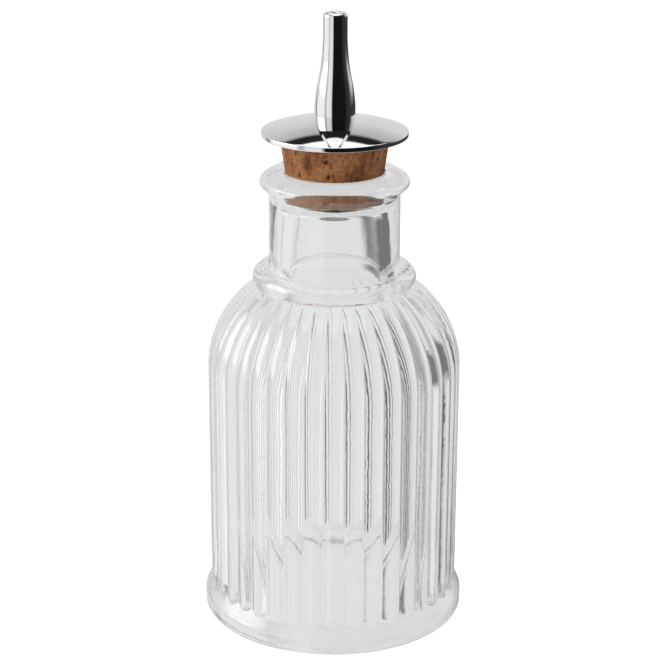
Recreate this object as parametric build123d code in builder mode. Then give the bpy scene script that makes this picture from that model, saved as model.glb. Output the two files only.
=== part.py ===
"""Bitters bottle: a ribbed glass bottle with a cork dasher stopper.

The origin is the centre of the foot's underside and +Z is up. Lengths are in millimetres.
The bottle, the cork and the turned metal parts all share the Z axis.
"""

from build123d import *
from math import acos, cos, radians, sin, sqrt
import os

# Glass body and its ribs
body_radius = 32.5
body_height = 66.2
rib_count = 40
rib_depth = 0.7

# Glass foot
foot_radius = 34.0
foot_height = 4.0
foot_flare_height = 4.4
foot_corner_radius = 0.9
underside_radius = 27.0
underside_depth = 1.4

# Glass shoulder, collar bead and neck
shoulder_radius = 26.9
collar_radius = 20.8
collar_bead_radius = 2.55
collar_lift = 0.7
neck_radius = 16.6
neck_length = 21.9

# Glass lip, a thick ring with a domed top
lip_radius = 18.85
lip_flare_height = 2.2
lip_side_height = 1.6
lip_dome_height = 1.9
lip_neck_fillet = 2.0
lip_lower_fillet = 0.8
lip_upper_fillet = 1.5
lip_crest_width = 2.46
lip_crest_rise = 0.2
lip_crest_fillet = 3.5
mouth_fillet = 0.7

# Inside of the glass
wall_thickness = 3.8
floor_thickness = 3.2
floor_corner_radius = 3.0
punt_height = 2.0
bore_radius = 10.0
bore_foot_radius = 11.5
bore_fillet = 6.0
seat_length = 7.0
seat_blend_length = 2.0
seat_fillet = 3.0

# Cork, tapered, its lower end held in the mouth
cork_top_radius = 13.85
cork_length = 14.4
cork_taper = 0.155
cork_depth_in_mouth = 5.6
cork_edge_radius = 0.4
cork_seat_clearance = 0.15

# Cover plate, a metal dome with a turned-down rim, and the washer under it
plate_radius = 18.4
plate_rim_height = 1.25
plate_dome_height = 3.2
plate_rim_drop = 0.5
plate_rim_width = 1.2
plate_edge_fillet = 0.5
gasket_radius = 12.6
gasket_thickness = 0.5

# Pouring spout, a bulb that tapers to a straight tip
spout_length = 26.4
spout_base_radius = 5.0
spout_bulge_radius = 5.12
spout_tip_radius = 3.05
spout_tip_length = 5.5
spout_tip_fillet = 0.9
orifice_radius = 0.9
orifice_length = 2.2
orifice_fillet = 0.5

# Stem tube that clamps the stopper together
stem_radius = 2.2
stem_bore_radius = 1.3
stem_socket_depth = 6.0
stem_port_radius = 0.8
stem_port_count = 4
thread_clearance = 0.05

# Cup under the cork, baffle disc and end screw
cup_radius = 10.0
cup_bowl_radius = 12.8
cup_flat_radius = 3.4
cup_thickness = 0.8
cup_port_radius = 1.1
cup_port_count = 6
baffle_radius = 7.8
baffle_thickness = 0.5
screw_head_radius = 2.0
screw_head_height = 0.9
screw_head_fillet = 0.6
screw_shank_length = 3.4

# One overrun serves every cut
overrun = 2.0

# Heights of the glass, worked out from the sizes above
shoulder_axis_radius = body_radius - shoulder_radius
collar_centre_radius = collar_radius - collar_bead_radius
shoulder_sweep = acos((collar_centre_radius - shoulder_axis_radius) / shoulder_radius)
collar_height = body_height + shoulder_radius * sin(shoulder_sweep) + collar_lift
neck_top = collar_height + neck_length
lip_side_bottom = neck_top + lip_flare_height
lip_side_top = lip_side_bottom + lip_side_height
mouth_height = lip_side_top + lip_dome_height

# Heights of the stopper, stacked upwards from the cork's lower end
cork_bottom = mouth_height - cork_depth_in_mouth
cork_top = cork_bottom + cork_length
cork_bottom_radius = cork_top_radius - cork_taper * cork_length
plate_ceiling = cork_top + gasket_thickness
plate_bottom = plate_ceiling - plate_rim_drop
plate_rim_top = plate_bottom + plate_rim_height
dome_radius = (plate_radius**2 + plate_dome_height**2) / (2 * plate_dome_height)
dome_centre = plate_rim_top + plate_dome_height - dome_radius
plate_top = dome_centre + sqrt(dome_radius**2 - spout_base_radius**2)
spout_top = plate_top + spout_length
stem_hole_radius = stem_radius + thread_clearance

# Heights below the cork, stacked downwards
cup_axis_height = cork_bottom + sqrt(cup_bowl_radius**2 - cup_radius**2)
cup_bottom = cup_axis_height - sqrt(cup_bowl_radius**2 - cup_flat_radius**2)
cup_floor_top = cup_bottom + cup_thickness
port_height = (cup_floor_top + cork_bottom) / 2
baffle_bottom = cup_bottom - baffle_thickness
screw_bottom = baffle_bottom - screw_head_height

# The mouth of the neck follows the cork's taper
mouth_radius = cork_bottom_radius + cork_taper * cork_depth_in_mouth + cork_seat_clearance
seat_bottom = mouth_height - seat_length
seat_bottom_radius = mouth_radius - cork_taper * seat_length
lip_crest_radius = mouth_radius + lip_crest_width
lip_crest_height = mouth_height + lip_crest_rise

# Ribs, one crest facing the front, sharp grooves between them
rib_pitch = 360 / rib_count
front_angle = -90
shoulder_sweep_shares = (0.0, 0.2, 0.4, 0.6, 0.78, 0.9, 1.0)
rib_fade_shares = (1.0, 1.0, 1.0, 1.0, 1.0, 0.9, 0.5)

# Spout outline between the bulge and the straight tip: height and bulge shares
spout_bulge_share = 0.10
spout_taper_shares = ((0.20, 0.91), (0.31, 0.72), (0.42, 0.44), (0.53, 0.22), (0.66, 0.07))


def on_circle(radius, angle):
    """A point at an angle in degrees on a circle about the Z axis."""
    return radius * cos(radians(angle)), radius * sin(radians(angle))


def ribbed_outline(crest_radius, depth):
    """A closed ring of convex arcs, one for each rib."""
    groove_radius = crest_radius - depth
    with BuildSketch() as outline:
        with BuildLine():
            for rib in range(rib_count):
                middle = front_angle + rib * rib_pitch
                ThreePointArc(
                    on_circle(groove_radius, middle - rib_pitch / 2),
                    on_circle(crest_radius, middle),
                    on_circle(groove_radius, middle + rib_pitch / 2),
                )
        make_face()
    return outline.sketch


def corner_at(sketch, radius, height):
    """The corner of a section nearest to a given radius and height."""
    return sketch.vertices().sort_by_distance((radius, height))[0]


def outward_planes(count, height):
    """Planes on the Z axis that face outwards, spaced evenly, the first to the front."""
    planes = []
    for side in range(count):
        facing = (*on_circle(1, front_angle + 360 * side / count), 0)
        planes.append(Plane(origin=(0, 0, height), z_dir=facing))
    return planes


os.makedirs("parts", exist_ok=True)

# Bottle: ribbed body and shoulder, round foot and neck, then the inside cut away
with BuildPart() as bottle:
    with BuildSketch(Plane.XY.offset(foot_height)):
        add(ribbed_outline(body_radius, rib_depth))
    extrude(amount=body_height - foot_height)

    for sweep_share, fade_share in zip(shoulder_sweep_shares, rib_fade_shares):
        section_angle = shoulder_sweep * sweep_share
        section_radius = shoulder_axis_radius + shoulder_radius * cos(section_angle)
        section_depth = rib_depth * section_radius / body_radius * fade_share
        section_height = body_height + shoulder_radius * sin(section_angle)
        with BuildSketch(Plane.XY.offset(section_height)):
            add(ribbed_outline(section_radius, section_depth))
    loft()

    with BuildSketch(Plane.XZ) as foot_section:
        with BuildLine():
            Polyline(
                (0, underside_depth),
                (underside_radius, 0),
                (foot_radius, 0),
                (foot_radius, foot_height),
                (body_radius - rib_depth, foot_height + foot_flare_height),
                (0, foot_height + foot_flare_height),
                close=True,
            )
        make_face()
        fillet(corner_at(foot_section, foot_radius, 0), foot_corner_radius)
    revolve(axis=Axis.Z)

    with BuildSketch(Plane.XZ) as neck_section:
        with BuildLine():
            Polyline(
                (0, body_height),
                (neck_radius, body_height),
                (neck_radius, neck_top),
                (lip_radius, lip_side_bottom),
                (lip_radius, lip_side_top),
                (lip_crest_radius, lip_crest_height),
                (mouth_radius, mouth_height),
                (0, mouth_height),
                close=True,
            )
        make_face()
        fillet(corner_at(neck_section, neck_radius, neck_top), lip_neck_fillet)
        fillet(corner_at(neck_section, lip_radius, lip_side_bottom), lip_lower_fillet)
        fillet(corner_at(neck_section, lip_radius, lip_side_top), lip_upper_fillet)
        fillet(corner_at(neck_section, lip_crest_radius, lip_crest_height), lip_crest_fillet)
        with Locations((collar_centre_radius, collar_height)):
            Circle(collar_bead_radius)
    revolve(axis=Axis.Z)

    cavity_radius = body_radius - wall_thickness
    inner_shoulder_radius = shoulder_radius - wall_thickness
    bore_reach = bore_foot_radius - shoulder_axis_radius
    bore_bottom = body_height + sqrt(inner_shoulder_radius**2 - bore_reach**2)
    with BuildSketch(Plane.XZ) as cavity_section:
        with BuildLine():
            Polyline(
                (0, floor_thickness + punt_height),
                (cavity_radius, floor_thickness),
                (cavity_radius, body_height),
            )
            RadiusArc(
                (cavity_radius, body_height),
                (bore_foot_radius, bore_bottom),
                -inner_shoulder_radius,
            )
            Polyline(
                (bore_foot_radius, bore_bottom),
                (bore_radius, seat_bottom - seat_blend_length),
                (seat_bottom_radius, seat_bottom),
                (mouth_radius, mouth_height),
                (0, mouth_height),
                (0, floor_thickness + punt_height),
            )
        make_face()
        fillet(corner_at(cavity_section, cavity_radius, floor_thickness), floor_corner_radius)
        fillet(corner_at(cavity_section, bore_foot_radius, bore_bottom), bore_fillet)
        fillet(corner_at(cavity_section, seat_bottom_radius, seat_bottom), seat_fillet)
        fillet(corner_at(cavity_section, bore_radius, seat_bottom - seat_blend_length), seat_fillet)
    revolve(axis=Axis.Z, mode=Mode.SUBTRACT)

    mouth_edge = bottle.edges().sort_by_distance((0, mouth_radius, mouth_height))[0]
    fillet(mouth_edge, mouth_fillet)
bottle.part.label = "bottle"

# Cork: a tapered plug with a hole for the stem
with BuildPart() as cork:
    with BuildSketch(Plane.XZ) as cork_section:
        with BuildLine():
            Polyline(
                (stem_hole_radius, cork_bottom),
                (cork_bottom_radius, cork_bottom),
                (cork_top_radius, cork_top),
                (stem_hole_radius, cork_top),
                close=True,
            )
        make_face()
        fillet(corner_at(cork_section, cork_bottom_radius, cork_bottom), cork_edge_radius)
        fillet(corner_at(cork_section, cork_top_radius, cork_top), cork_edge_radius)
    revolve(axis=Axis.Z)
cork.part.label = "cork"

# Plate gasket: the washer that seals the cork against the cover plate
with BuildPart() as plate_gasket:
    with BuildSketch(Plane.XY.offset(cork_top)):
        Circle(gasket_radius)
        Circle(stem_hole_radius, mode=Mode.SUBTRACT)
    extrude(amount=gasket_thickness)
plate_gasket.part.label = "plate_gasket"

# Cover plate: flat inside, domed above, with a flat land in the middle for the spout
with BuildPart() as cover_plate:
    with BuildSketch(Plane.XZ) as plate_section:
        with BuildLine():
            Polyline(
                (spout_base_radius, plate_top),
                (stem_hole_radius, plate_top),
                (stem_hole_radius, plate_ceiling),
                (plate_radius - plate_rim_width, plate_ceiling),
                (plate_radius - plate_rim_width, plate_bottom),
                (plate_radius, plate_bottom),
                (plate_radius, plate_rim_top),
            )
            RadiusArc((spout_base_radius, plate_top), (plate_radius, plate_rim_top), dome_radius)
        make_face()
        fillet(corner_at(plate_section, plate_radius, plate_rim_top), plate_edge_fillet)
        fillet(corner_at(plate_section, plate_radius, plate_bottom), plate_edge_fillet)
    revolve(axis=Axis.Z)
cover_plate.part.label = "cover_plate"

# Spout: turned outside, with a socket for the stem and a bore that narrows to the orifice
socket_top = plate_top + stem_socket_depth
orifice_bottom = spout_top - orifice_length
tip_bottom = spout_top - spout_tip_length
bulge_height = plate_top + spout_length * spout_bulge_share
taper_points = []
for height_share, bulge_share in spout_taper_shares:
    taper_radius = spout_tip_radius + (spout_bulge_radius - spout_tip_radius) * bulge_share
    taper_points.append((taper_radius, plate_top + spout_length * height_share))
with BuildPart() as spout:
    with BuildSketch(Plane.XZ) as spout_section:
        with BuildLine():
            Spline(
                (spout_base_radius, plate_top),
                (spout_bulge_radius, bulge_height),
                *taper_points,
                (spout_tip_radius, tip_bottom),
                tangents=((spout_bulge_radius - spout_base_radius, bulge_height - plate_top), (0, 1)),
            )
            Polyline(
                (spout_tip_radius, tip_bottom),
                (spout_tip_radius, spout_top),
                (orifice_radius, spout_top),
                (orifice_radius, orifice_bottom),
                (stem_radius, socket_top),
                (stem_hole_radius, socket_top),
                (stem_hole_radius, plate_top),
                (spout_base_radius, plate_top),
            )
        make_face()
        fillet(corner_at(spout_section, spout_tip_radius, spout_top), spout_tip_fillet)
        fillet(corner_at(spout_section, orifice_radius, spout_top), orifice_fillet)
    revolve(axis=Axis.Z)
spout.part.label = "spout"

# Stem tube: runs from the spout's socket down to the baffle, with ports inside the cup
with BuildPart() as stem_tube:
    with BuildSketch(Plane.XY.offset(cup_bottom)):
        Circle(stem_radius)
        Circle(stem_bore_radius, mode=Mode.SUBTRACT)
    extrude(amount=socket_top - cup_bottom)
    with BuildSketch(*outward_planes(stem_port_count, port_height)):
        Circle(stem_port_radius)
    extrude(amount=stem_radius + overrun, mode=Mode.SUBTRACT)
stem_tube.part.label = "stem_tube"

# Cup washer: a thin bowl under the cork with a flat floor and ports in its wall
cup_inner_bowl_radius = cup_bowl_radius - cup_thickness
cup_inner_radius = sqrt(cup_inner_bowl_radius**2 - (cup_axis_height - cork_bottom) ** 2)
cup_inner_flat_radius = sqrt(cup_inner_bowl_radius**2 - (cup_axis_height - cup_floor_top) ** 2)
with BuildPart() as cup_washer:
    with BuildSketch(Plane.XZ):
        with BuildLine():
            Polyline(
                (cup_inner_flat_radius, cup_floor_top),
                (stem_hole_radius, cup_floor_top),
                (stem_hole_radius, cup_bottom),
                (cup_flat_radius, cup_bottom),
            )
            RadiusArc((cup_flat_radius, cup_bottom), (cup_radius, cork_bottom), -cup_bowl_radius)
            Line((cup_radius, cork_bottom), (cup_inner_radius, cork_bottom))
            RadiusArc(
                (cup_inner_radius, cork_bottom),
                (cup_inner_flat_radius, cup_floor_top),
                cup_inner_bowl_radius,
            )
        make_face()
    revolve(axis=Axis.Z)
    with BuildSketch(*outward_planes(cup_port_count, port_height)):
        Circle(cup_port_radius)
    extrude(amount=cup_radius + overrun, mode=Mode.SUBTRACT)
cup_washer.part.label = "cup_washer"

# Baffle disc: slows the flow below the cup
with BuildPart() as baffle_disc:
    with BuildSketch(Plane.XY.offset(baffle_bottom)):
        Circle(baffle_radius)
        Circle(stem_bore_radius, mode=Mode.SUBTRACT)
    extrude(amount=baffle_thickness)
baffle_disc.part.label = "baffle_disc"

# End screw: closes the stem and holds the baffle against the cup
with BuildPart() as end_screw:
    with BuildSketch(Plane.XZ) as screw_section:
        with BuildLine():
            Polyline(
                (0, screw_bottom),
                (screw_head_radius, screw_bottom),
                (screw_head_radius, baffle_bottom),
                (stem_bore_radius - thread_clearance, baffle_bottom),
                (stem_bore_radius - thread_clearance, baffle_bottom + screw_shank_length),
                (0, baffle_bottom + screw_shank_length),
                close=True,
            )
        make_face()
        fillet(corner_at(screw_section, screw_head_radius, screw_bottom), screw_head_fillet)
    revolve(axis=Axis.Z)
end_screw.part.label = "end_screw"

pieces = (
    bottle,
    cork,
    plate_gasket,
    cover_plate,
    spout,
    stem_tube,
    cup_washer,
    baffle_disc,
    end_screw,
)
for piece in pieces:
    export_step(piece.part, f"parts/{piece.part.label}.step")
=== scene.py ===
"""Looks of the bitters bottle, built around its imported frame. Lengths are in metres."""

import math
import random

import bmesh
import bpy
import numpy as np
from bpy.props import FloatProperty, FloatVectorProperty, IntProperty, PointerProperty
from mathutils import Matrix, Vector


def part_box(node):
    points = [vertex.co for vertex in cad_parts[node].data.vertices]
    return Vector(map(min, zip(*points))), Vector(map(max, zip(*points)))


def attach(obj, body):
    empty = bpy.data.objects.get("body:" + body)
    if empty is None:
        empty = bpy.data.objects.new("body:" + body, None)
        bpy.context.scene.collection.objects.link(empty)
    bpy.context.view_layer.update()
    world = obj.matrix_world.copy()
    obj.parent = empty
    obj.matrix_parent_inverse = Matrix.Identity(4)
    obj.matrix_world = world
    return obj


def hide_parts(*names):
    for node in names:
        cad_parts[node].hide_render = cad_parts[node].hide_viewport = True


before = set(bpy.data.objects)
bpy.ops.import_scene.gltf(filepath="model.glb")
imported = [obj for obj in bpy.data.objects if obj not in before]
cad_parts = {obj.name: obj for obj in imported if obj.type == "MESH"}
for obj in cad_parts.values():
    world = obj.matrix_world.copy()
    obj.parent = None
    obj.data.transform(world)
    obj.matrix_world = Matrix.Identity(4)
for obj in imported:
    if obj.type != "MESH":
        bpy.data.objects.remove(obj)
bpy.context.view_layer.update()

bl_info = {
    "name": "Ribbed Bitters Bottle",
    "version": (1, 0, 0),
    "blender": (4, 5, 0),
    "location": "3D View > Sidebar > Bottle",
    "description": "Glass, cork and chromed metal of a ribbed bottle with a dasher stopper",
    "category": "Object",
}

MM = 0.001
FULL_TURN = 2 * math.pi
CRISP_ANGLE = math.radians(40)
MERGE_DISTANCE = 0.004 * MM
ROW_FIELDS = ("rib", "climb", "wave")
STEPS = {"cork": 360, "cover_plate": 288, "spout": 192, "baffle_disc": 160, "end_screw": 96}
STEPS_PER_RIB = 12
WHITE = (1.0, 1.0, 1.0, 1.0)
TURNING_INPUTS = (
    ("Steps", "Int"),
    ("Rib Count", "Int"),
    ("Rib Depth", "Float"),
    ("Unevenness", "Float"),
    ("Wave Length", "Float"),
    ("Seed", "Float"),
    ("Material", "Material"),
)
LAMP_TARGET = (0.0, 0.0, 0.09)
LAMPS = (
    ("key_lamp", (-0.55, -0.45, 0.55), (0.5, 0.7), "key_power"),
    ("top_lamp", (0.0, 0.1, 0.9), (0.8, 0.8), "top_power"),
    ("back_lamp", (0.5, 0.6, 0.5), (0.5, 0.5), "rim_power"),
)

cork_low, cork_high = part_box("cork")
plate_low, plate_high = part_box("cover_plate")
spout_low, spout_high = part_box("spout")
baffle_low, baffle_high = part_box("baffle_disc")
screw_low, screw_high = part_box("end_screw")
glass_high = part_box("bottle")[1]


def length(name, millimetres, description):
    """A length setting, kept in metres."""
    return FloatProperty(
        name=name, description=description, default=millimetres * MM, unit="LENGTH", precision=5
    )


def lean(name, default, description):
    """An angle setting in radians."""
    return FloatProperty(name=name, description=description, default=default, unit="ROTATION")


def share(name, default, description):
    """A setting without a unit."""
    return FloatProperty(name=name, description=description, default=default, precision=3)


def count(name, default, description):
    """A whole-number setting."""
    return IntProperty(name=name, description=description, default=default, min=1)


def colour(name, default, description):
    """A colour setting."""
    return FloatVectorProperty(
        name=name, description=description, default=default, subtype="COLOR", size=3, min=0.0, max=1.0
    )


class GlassSizes(bpy.types.PropertyGroup):
    """Sizes and finish of the moulded glass."""

    body_radius: length("Body radius", 32.5, "Radius over the rib crests")
    body_height: length("Body height", 66.2, "Height where the shoulder starts")
    rib_count: count("Ribs", 40, "Number of upright ribs")
    rib_depth: length("Rib depth", 0.7, "Depth of the grooves between ribs")
    foot_radius: length("Foot radius", glass_high.x / MM, "Outer radius of the foot")
    foot_height: length("Foot height", 4.0, "Height of the foot's upright edge")
    foot_flare_height: length("Foot flare height", 4.4, "Height of the slope above the foot")
    foot_corner_radius: length("Foot corner radius", 0.9, "Rounding of the foot's lower edge")
    underside_radius: length("Underside radius", 27.0, "Radius of the hollow under the foot")
    underside_depth: length("Underside depth", 1.4, "Depth of the hollow under the foot")
    shoulder_radius: length("Shoulder radius", 26.9, "Radius of the shoulder's curve")
    collar_radius: length("Collar radius", 20.8, "Outer radius of the collar bead")
    collar_bead_radius: length("Collar bead radius", 2.55, "Radius of the bead's round section")
    collar_height: length("Collar height", 90.64, "Height of the bead's centre")
    neck_radius: length("Neck radius", 16.6, "Outer radius of the neck")
    neck_top: length("Neck top", 112.54, "Height where the lip starts")
    lip_radius: length("Lip radius", 18.85, "Outer radius of the lip")
    lip_side_bottom: length("Lip side bottom", 114.74, "Height of the lip's lower corner")
    lip_side_top: length("Lip side top", 116.34, "Height of the lip's upper corner")
    lip_neck_fillet: length("Lip neck fillet", 2.0, "Rounding between the neck and the lip")
    lip_lower_fillet: length("Lip lower fillet", 0.8, "Rounding of the lip's lower corner")
    lip_upper_fillet: length("Lip upper fillet", 1.5, "Rounding of the lip's upper corner")
    lip_crest_radius: length("Lip crest radius", 15.1, "Radius of the lip's highest ring")
    lip_crest_height: length("Lip crest height", 118.44, "Height of the lip's highest ring")
    lip_crest_fillet: length("Lip crest fillet", 3.5, "Rounding of the lip's highest ring")
    mouth_radius: length("Mouth radius", 12.64, "Inner radius at the top of the lip")
    mouth_height: length("Mouth height", 118.24, "Height of the lip's dome at the mouth")
    mouth_fillet: length("Mouth fillet", 0.7, "Rounding of the mouth's edge")
    wall_thickness: length("Wall thickness", 3.8, "Thickness of the glass wall")
    floor_thickness: length("Floor thickness", 3.2, "Thickness of the floor at its edge")
    floor_corner_radius: length("Floor corner radius", 3.0, "Rounding where the floor meets the wall")
    punt_height: length("Punt height", 2.0, "Rise of the floor in the middle")
    bore_radius: length("Bore radius", 10.0, "Bore radius under the cork's seat")
    bore_foot_radius: length("Bore foot radius", 11.5, "Bore radius at its opening into the body")
    bore_fillet: length("Bore fillet", 6.0, "Rounding of the bore's opening")
    seat_height: length("Seat height", 111.24, "Height where the cork's seat ends")
    seat_radius: length("Seat radius", 11.55, "Bore radius at the seat's lower end")
    seat_blend_height: length("Seat blend height", 109.24, "Height where the seat's slope ends")
    seat_fillet: length("Seat fillet", 3.0, "Rounding at both ends of the seat's slope")
    polish_radius: length("Fire polish", 0.22, "How far corners are melted round")
    wall_unevenness: length("Wall unevenness", 0.16, "How far the inner wall strays from round")
    wave_length: length("Wave length", 26.0, "Size of the inner wall's uneven places")
    tint: colour("Glass tint", (0.985, 0.99, 0.99), "Colour of the glass")


class CorkSizes(bpy.types.PropertyGroup):
    """Sizes and colours of the cork."""

    bottom_radius: length("Bottom radius", 11.62, "Radius of the cork's lower end")
    top_radius: length("Top radius", cork_high.x / MM, "Radius of the cork's upper end")
    hole_radius: length("Hole radius", 2.25, "Radius of the hole for the stem")
    edge_radius: length("Edge radius", 0.45, "Rounding of the cork's edges")
    pit_depth: length("Pit depth", 0.5, "Depth of the largest pores")
    pale: colour("Pale cork", (0.335, 0.150, 0.058), "Colour of the pale grain")
    warm: colour("Warm cork", (0.235, 0.080, 0.025), "Colour of the reddish grain")
    dark: colour("Dark cork", (0.095, 0.040, 0.020), "Colour of the dark grain")
    # Colour of the pores, mixed in more where a pit is deeper: partly the cork's own dark pores, partly
    # painted shade in the hollows.
    pore: colour("Pore", (0.035, 0.018, 0.012), "Colour inside the pores")


class MetalSizes(bpy.types.PropertyGroup):
    """Sizes and colours of the turned metal parts."""

    plate_rim_height: length("Plate rim height", 1.25, "Height of the plate's upright rim")
    plate_dome_height: length("Plate dome height", 3.2, "Rise of the plate's dome above its rim")
    plate_rim_width: length("Plate rim width", 1.2, "Thickness of the turned-down rim")
    plate_rim_drop: length("Plate rim drop", 0.5, "Depth of the rim below the ceiling")
    plate_edge_fillet: length("Plate edge fillet", 0.35, "Rounding of the rim's edges")
    spout_base_radius: length("Spout base radius", 5.0, "Radius of the spout on the plate")
    spout_bulge_radius: length("Spout bulge radius", spout_high.x / MM, "Largest radius of the spout")
    spout_tip_radius: length("Spout tip radius", 3.05, "Radius of the spout's straight tip")
    spout_tip_length: length("Spout tip length", 5.5, "Length of the straight tip")
    spout_tip_fillet: length("Spout tip fillet", 0.9, "Rounding of the tip's outer edge")
    orifice_radius: length("Orifice radius", 0.9, "Radius of the pouring hole")
    orifice_length: length("Orifice length", 2.2, "Length of the pouring hole")
    orifice_fillet: length("Orifice fillet", 0.5, "Rounding at the pouring hole's rim")
    stem_radius: length("Stem radius", 2.2, "Radius of the stem tube")
    stem_hole_radius: length("Stem hole radius", 2.25, "Radius of the holes round the stem")
    stem_bore_radius: length("Stem bore radius", 1.3, "Radius of the stem's bore")
    stem_socket_depth: length("Stem socket depth", 6.0, "How far the stem goes into the spout")
    screw_fillet: length("Screw fillet", 0.6, "Rounding of the end screw's head")
    chrome: colour("Chrome", (0.80, 0.80, 0.815), "Colour of the chrome plating")
    steel: colour("Steel", (0.42, 0.385, 0.35), "Colour of the bare steel")
    rubber: colour("Rubber", (0.035, 0.034, 0.033), "Colour of the gasket")


class StudioSettings(bpy.types.PropertyGroup):
    """Camera, lamps and surroundings."""

    camera_distance: length("Camera distance", 480.0, "Distance of the camera from the axis")
    camera_height: length("Camera height", 245.38, "Height of the camera above the floor")
    camera_side: length("Camera side", -0.38, "How far the camera stands to the right")
    camera_pitch: lean("Camera pitch", 0.3411, "How far the camera looks down")
    camera_roll: lean("Camera roll", 0.004, "How far the camera leans")
    focal_pixels: share("Focal length in pixels", 1981.83, "Focal length in pixels of the picture")
    picture_pixels: count("Picture width", 665, "Width of the picture in pixels")
    key_power: share("Key lamp", 5.0, "Power of the lamp at the left, in watts")
    top_power: share("Top lamp", 3.0, "Power of the lamp overhead, in watts")
    rim_power: share("Back lamp", 2.0, "Power of the lamp behind, in watts")
    fill: share("Fill light", 0.55, "Strength of the even light from all sides")
    backdrop: share("Backdrop", 0.80, "Brightness of the backdrop in glass and metal")
    bounces: count("Light bounces", 24, "How often light may turn inside the glass")
    floor_white: share("Floor white", 0.70, "How much of the floor's white is its own")


def placed(name, data):
    """A new object in the scene."""
    thing = bpy.data.objects.new(name, data)
    bpy.context.scene.collection.objects.link(thing)
    return thing


def line(start, end, steps=1):
    """Points from start to end, without the start."""
    shares = np.linspace(0, 1, steps + 1)[1:, None]
    return np.array(start) + (np.array(end) - np.array(start)) * shares


def arc(centre, radius, first, last, steps=12):
    """Points round a centre from one angle to another, in radians."""
    angles = np.linspace(first, last, steps + 1)
    return np.column_stack([centre[0] + radius * np.cos(angles), centre[1] + radius * np.sin(angles)])


def rounded(*corners, steps=8):
    """Points of an outline whose corners, given as radius, height and fillet, are arcs."""
    points = [np.array([corners[0][:2]])]
    for before, corner, after in zip(corners, corners[1:], corners[2:]):
        here = np.array(corner[:2])
        fillet = corner[2]
        if not fillet:
            points.append(here[None])
            continue
        back = np.array(before[:2]) - here
        ahead = np.array(after[:2]) - here
        back = back / np.linalg.norm(back)
        ahead = ahead / np.linalg.norm(ahead)
        half = math.acos(np.clip(back @ ahead, -1, 1)) / 2
        middle = (back + ahead) / np.linalg.norm(back + ahead)
        centre = here + middle * fillet / math.sin(half)
        first = here + back * fillet / math.tan(half) - centre
        last = here + ahead * fillet / math.tan(half) - centre
        start = math.atan2(first[1], first[0])
        turn = (math.atan2(last[1], last[0]) - start + math.pi) % FULL_TURN - math.pi
        points.append(arc(centre, fillet, start, start + turn, steps))
    points.append(np.array([corners[-1][:2]]))
    return np.concatenate(points)


def softened(rows, spread):
    """Rows with each corner melted over a short distance, and the ends kept."""
    steps = np.linalg.norm(np.diff(rows[:, :2], axis=0), axis=1)
    along = np.concatenate([[0], np.cumsum(steps)])
    kept = np.concatenate([[True], steps > 0])
    rows, along = rows[kept], along[kept]
    steps_per_spread = 4
    fine = np.arange(0, along[-1], spread / steps_per_spread)
    even = np.column_stack([np.interp(fine, along, column) for column in rows.T])
    reach = 3 * steps_per_spread
    weights = np.exp(-0.5 * (np.arange(-reach, reach + 1) / steps_per_spread) ** 2)
    weights /= weights.sum()
    smooth = even.copy()
    for field in range(even.shape[1]):
        smooth[reach:-reach, field] = np.convolve(even[:, field], weights, mode="valid")
    return np.concatenate([smooth, rows[-1:]])


def thinned(rows, turn, longest):
    """Rows where the outline turns or runs far enough, so that straight stretches have few."""
    most_fade = 0.12
    kept = [0]
    heading = None
    for index in range(1, len(rows) - 1):
        run = rows[index, :2] - rows[kept[-1], :2]
        step = rows[index + 1, :2] - rows[index, :2]
        direction = math.atan2(step[1], step[0])
        heading = direction if heading is None else heading
        change = abs((direction - heading + math.pi) % FULL_TURN - math.pi)
        fade = abs(rows[index, 2:4] - rows[kept[-1], 2:4]).max(initial=0)
        if change > turn or np.linalg.norm(run) > longest or fade > most_fade:
            kept.append(index)
            heading = direction
    return rows[kept + [len(rows) - 1]]


def put(tree, kind, values=(), **settings):
    """A node with its settings and with values or links on its inputs."""
    node = tree.nodes.new(kind)
    for name, value in settings.items():
        setattr(node, name, value)
    for key, value in dict(values).items():
        socket = node.inputs[key]
        if isinstance(value, bpy.types.NodeSocket):
            tree.links.new(value, socket)
        else:
            socket.default_value = value
    return node


def maths(tree, operation, *values):
    """The output of a Math node."""
    return put(tree, "ShaderNodeMath", enumerate(values), operation=operation).outputs[0]


def vectors(tree, operation, first, second):
    """The output of a Vector Math node, whose second value is a number when it scales."""
    values = {0: first, "Scale" if operation == "SCALE" else 1: second}
    return put(tree, "ShaderNodeVectorMath", values, operation=operation).outputs[0]


def new_group(name, kind, inputs, outputs):
    """A node group with its sockets, each given as a name and the kind of value it holds."""
    group = bpy.data.node_groups.new(name, kind)
    for direction, sockets in (("INPUT", inputs), ("OUTPUT", outputs)):
        for socket, holds in sockets:
            group.interface.new_socket(socket, in_out=direction, socket_type="NodeSocket" + holds)
    return group


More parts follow.
